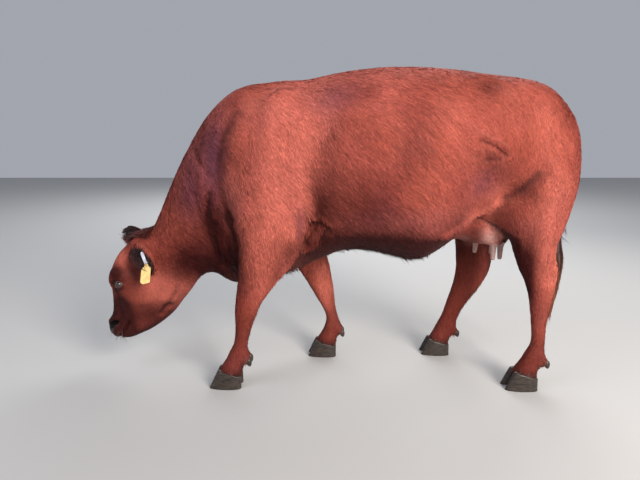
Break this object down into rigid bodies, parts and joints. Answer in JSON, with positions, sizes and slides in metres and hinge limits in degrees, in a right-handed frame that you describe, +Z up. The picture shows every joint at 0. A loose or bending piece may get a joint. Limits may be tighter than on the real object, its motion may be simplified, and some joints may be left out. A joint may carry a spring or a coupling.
{
  "type": "cow figure",
  "caption": "Life-size still figure of a grazing polled red cow, head down and legs apart in a slow step, with an ear tag.",
  "frame": {"origin": "on the floor, under the middle of the whole animal's box", "axes": "+X along the body, from head to tail; +Y towards the animal's right side; +Z up"},
  "size_m": [2.1376, 0.74, 1.397],
  "materials": {
    "coat": "short glossy chestnut-red hair lying down and back",
    "switch_hair": "long loose red-brown hair",
    "bare_skin": "soft bare skin",
    "eye": "wet dark eye",
    "horn": "dull dark hoof horn",
    "tag_yellow": "flexible yellow tag plastic",
    "tag_white": "pale tag plastic"
  },
  "bodies": {
    "root": {"head": "coat", "neck": "coat", "trunk": "coat", "foreleg_left": "coat", "foreleg_right": "coat", "hindleg_left": "coat", "hindleg_right": "coat", "ear_left": "coat", "ear_right": "coat", "udder": "coat", "tail": "coat", "tail_switch": "switch_hair", "teat_front_left": "bare_skin", "teat_front_right": "bare_skin", "teat_rear_left": "bare_skin", "teat_rear_right": "bare_skin", "eye_left": "eye", "eye_right": "eye", "hoof_fore_left_inner": "horn", "hoof_fore_left_outer": "horn", "hoof_fore_right_inner": "horn", "hoof_fore_right_outer": "horn", "hoof_hind_left_inner": "horn", "hoof_hind_left_outer": "horn", "hoof_hind_right_inner": "horn", "hoof_hind_right_outer": "horn", "dewclaw_fore_left_inner": "horn", "dewclaw_fore_left_outer": "horn", "dewclaw_fore_right_inner": "horn", "dewclaw_fore_right_outer": "horn", "dewclaw_hind_left_inner": "horn", "dewclaw_hind_left_outer": "horn", "dewclaw_hind_right_inner": "horn", "dewclaw_hind_right_outer": "horn", "tag_yellow": "tag_yellow", "tag_white": "tag_white", "tag_pin": "tag_white"}
  },
  "joints": []
}
